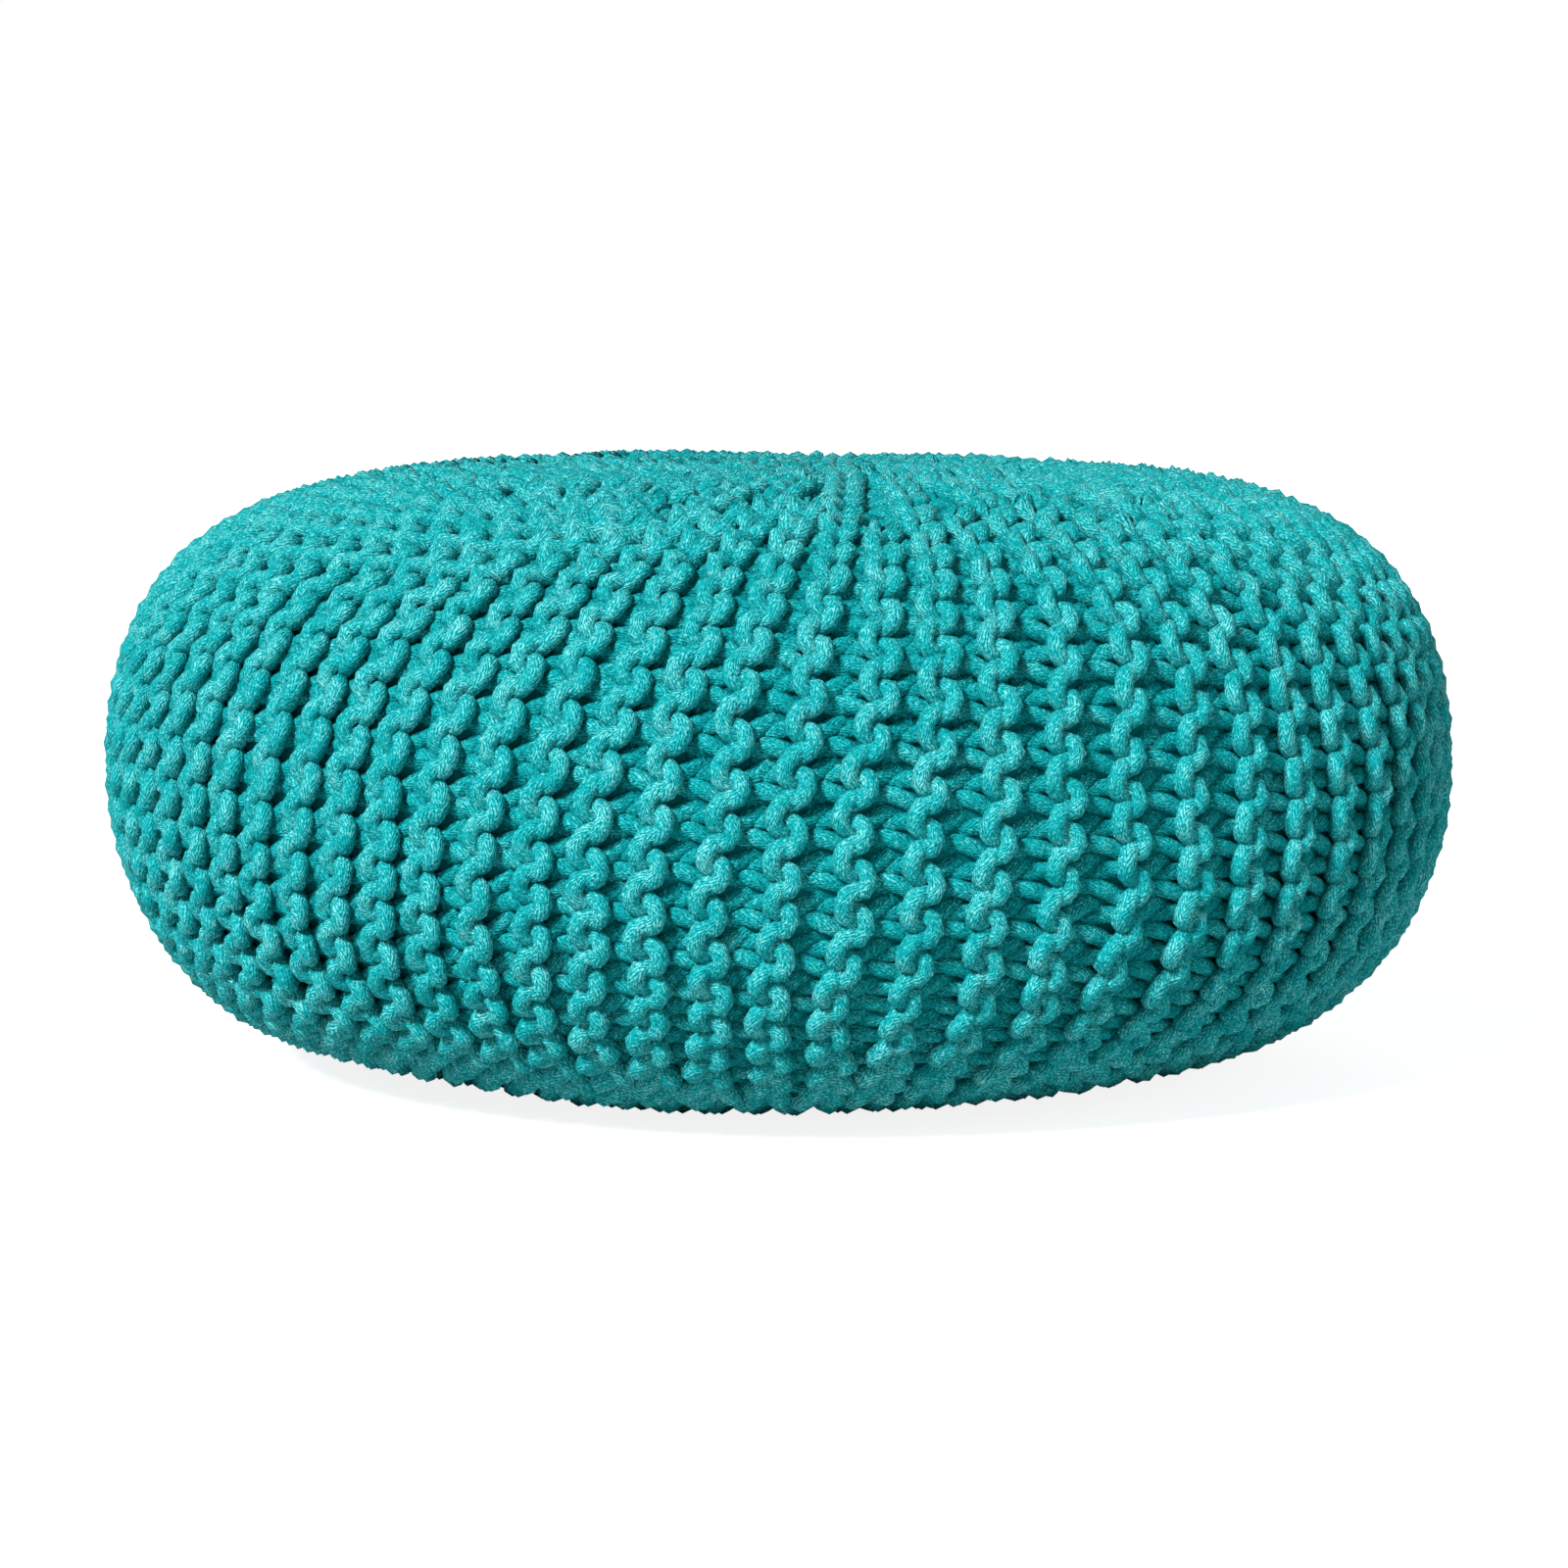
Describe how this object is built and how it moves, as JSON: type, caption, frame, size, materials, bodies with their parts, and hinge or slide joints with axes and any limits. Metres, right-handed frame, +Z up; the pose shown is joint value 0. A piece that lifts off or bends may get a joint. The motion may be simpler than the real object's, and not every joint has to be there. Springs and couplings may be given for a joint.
{
  "type": "round knitted floor pouf",
  "caption": "Low round floor pouf in a cover of thick knitted cord, with garter ridges running from crown to underside and a flat base to rest on.",
  "frame": {"origin": "middle of the flat underside", "axes": "+Z up, -Y towards the viewer of the picture, +X to the viewer's right"},
  "size_m": [0.5598, 0.5599, 0.2476],
  "materials": {
    "teal_cotton_cord": "matte dyed cotton cord, coarse braid, slightly fuzzy"
  },
  "bodies": {
    "root": {"knitted_pouf": "teal_cotton_cord"}
  },
  "joints": []
}
